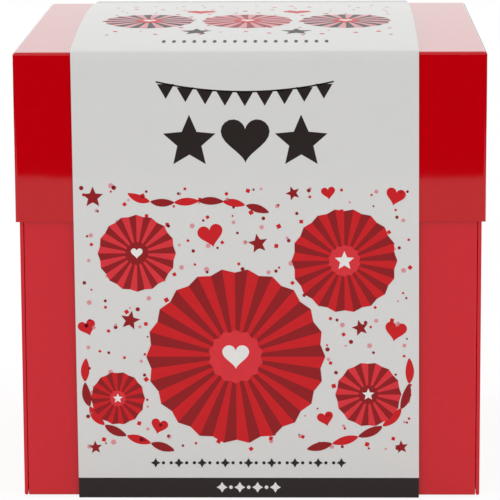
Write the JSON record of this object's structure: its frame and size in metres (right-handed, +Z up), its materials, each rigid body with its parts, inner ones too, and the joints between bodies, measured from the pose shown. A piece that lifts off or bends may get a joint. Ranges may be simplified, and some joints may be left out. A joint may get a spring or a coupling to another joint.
{
  "type": "explosion box",
  "caption": "Square card gift box whose deep lid lifts off so that its four walls fall open round a small gift box on a drawer, with a paper sleeve round it.",
  "frame": {"origin": "on the table, under the middle of the box", "axes": "+Z up; the sleeve's printed front faces -Y; +X is to the viewer's right, the way the sleeve slides off"},
  "size_m": [0.12, 0.121, 0.1199],
  "materials": {
    "lid_card": "gloss-coated red card",
    "box_card": "gloss-coated red board",
    "mat_card": "matt red card",
    "sleeve_print": "coated paper, printed",
    "drawer_card": "satin red card",
    "insert_white": "uncoated ivory card",
    "insert_red": "uncoated red card",
    "gift_card": "satin red card",
    "satin_ribbon": "satin ribbon"
  },
  "bodies": {
    "base": {"base_panel": "box_card", "drawer_housing": "drawer_card", "gift_box_body": "gift_card", "gift_side_ribbons": "satin_ribbon"},
    "front_side": {"front_wall": "box_card", "front_mat": "mat_card", "front_pocket": "mat_card"},
    "back_side": {"back_wall": "box_card", "back_mat": "mat_card", "back_pocket": "mat_card"},
    "left_side": {"left_wall": "box_card", "left_mat": "mat_card", "left_pocket": "mat_card", "left_tie_ribbon": "satin_ribbon"},
    "right_side": {"right_wall": "box_card", "right_mat": "mat_card", "right_pocket": "mat_card", "right_tie_ribbon": "satin_ribbon"},
    "left_front_leaf": {"left_front_flap": "box_card"},
    "left_back_leaf": {"left_back_flap": "box_card"},
    "right_front_leaf": {"right_front_flap": "box_card"},
    "right_back_leaf": {"right_back_flap": "box_card"},
    "lid": {"lid_shell": "lid_card", "lid_turn_in": "lid_card"},
    "sleeve": {"sleeve_band": "sleeve_print", "sleeve_glue_flap": "sleeve_print"},
    "drawer": {"drawer_tray": "drawer_card", "insert_squares": "insert_white", "insert_rounds": "insert_red"},
    "gift_top": {"gift_lid": "gift_card", "gift_lid_ribbon": "satin_ribbon", "bow_loops": "satin_ribbon", "bow_tails": "satin_ribbon", "bow_knot": "satin_ribbon"}
  },
  "joints": [
    {"name": "lid_lift", "type": "slide", "parent": "base", "child": "lid", "axis": [0, 0, 1], "range_m": [0, 0.48]},
    {"name": "sleeve_slide", "type": "slide", "parent": "base", "child": "sleeve", "axis": [1, 0, 0], "range_m": [0, 0.235], "deforming": ["sleeve_band", "sleeve_glue_flap"]},
    {"name": "front_wall_fold", "type": "hinge", "parent": "base", "child": "front_side", "pos_m": [0, -0.0585, 0.0009], "axis": [1, 0, 0], "range_deg": [0, 90]},
    {"name": "back_wall_fold", "type": "hinge", "parent": "base", "child": "back_side", "pos_m": [0, 0.0585, 0.0009], "axis": [-1, 0, 0], "range_deg": [0, 90]},
    {"name": "left_wall_fold", "type": "hinge", "parent": "base", "child": "left_side", "pos_m": [-0.0585, 0, 0.0009], "axis": [0, -1, 0], "range_deg": [0, 90]},
    {"name": "right_wall_fold", "type": "hinge", "parent": "base", "child": "right_side", "pos_m": [0.0585, 0, 0.0009], "axis": [0, 1, 0], "range_deg": [0, 90]},
    {"name": "left_front_flap_fold", "type": "hinge", "parent": "left_side", "child": "left_front_leaf", "pos_m": [-0.05775, -0.0569, 0.05785], "axis": [0, 0, -1], "range_deg": [0, 90]},
    {"name": "left_back_flap_fold", "type": "hinge", "parent": "left_side", "child": "left_back_leaf", "pos_m": [-0.05775, 0.0569, 0.05785], "axis": [0, 0, 1], "range_deg": [0, 90]},
    {"name": "right_front_flap_fold", "type": "hinge", "parent": "right_side", "child": "right_front_leaf", "pos_m": [0.05775, -0.0569, 0.05785], "axis": [0, 0, 1], "range_deg": [0, 90]},
    {"name": "right_back_flap_fold", "type": "hinge", "parent": "right_side", "child": "right_back_leaf", "pos_m": [0.05775, 0.0569, 0.05785], "axis": [0, 0, -1], "range_deg": [0, 90]},
    {"name": "drawer_slide", "type": "slide", "parent": "base", "child": "drawer", "axis": [0, -1, 0], "range_m": [0, 0.023]},
    {"name": "gift_lid_lift", "type": "slide", "parent": "base", "child": "gift_top", "axis": [0, 0, 1], "range_m": [0, 0.09]}
  ],
  "couplings": [
    {"joint": "sleeve_slide", "follows": "lid_lift", "ratio": 0.48958},
    {"joint": "front_wall_fold", "follows": "lid_lift", "rad_per_m": 3.2725},
    {"joint": "back_wall_fold", "follows": "lid_lift", "rad_per_m": 3.2725},
    {"joint": "left_wall_fold", "follows": "lid_lift", "rad_per_m": 3.2725},
    {"joint": "right_wall_fold", "follows": "lid_lift", "rad_per_m": 3.2725},
    {"joint": "left_front_flap_fold", "follows": "lid_lift", "rad_per_m": 3.2725},
    {"joint": "left_back_flap_fold", "follows": "lid_lift", "rad_per_m": 3.2725},
    {"joint": "right_front_flap_fold", "follows": "lid_lift", "rad_per_m": 3.2725},
    {"joint": "right_back_flap_fold", "follows": "lid_lift", "rad_per_m": 3.2725},
    {"joint": "drawer_slide", "follows": "lid_lift", "ratio": 0.047916},
    {"joint": "gift_lid_lift", "follows": "lid_lift", "ratio": 0.1875}
  ]
}
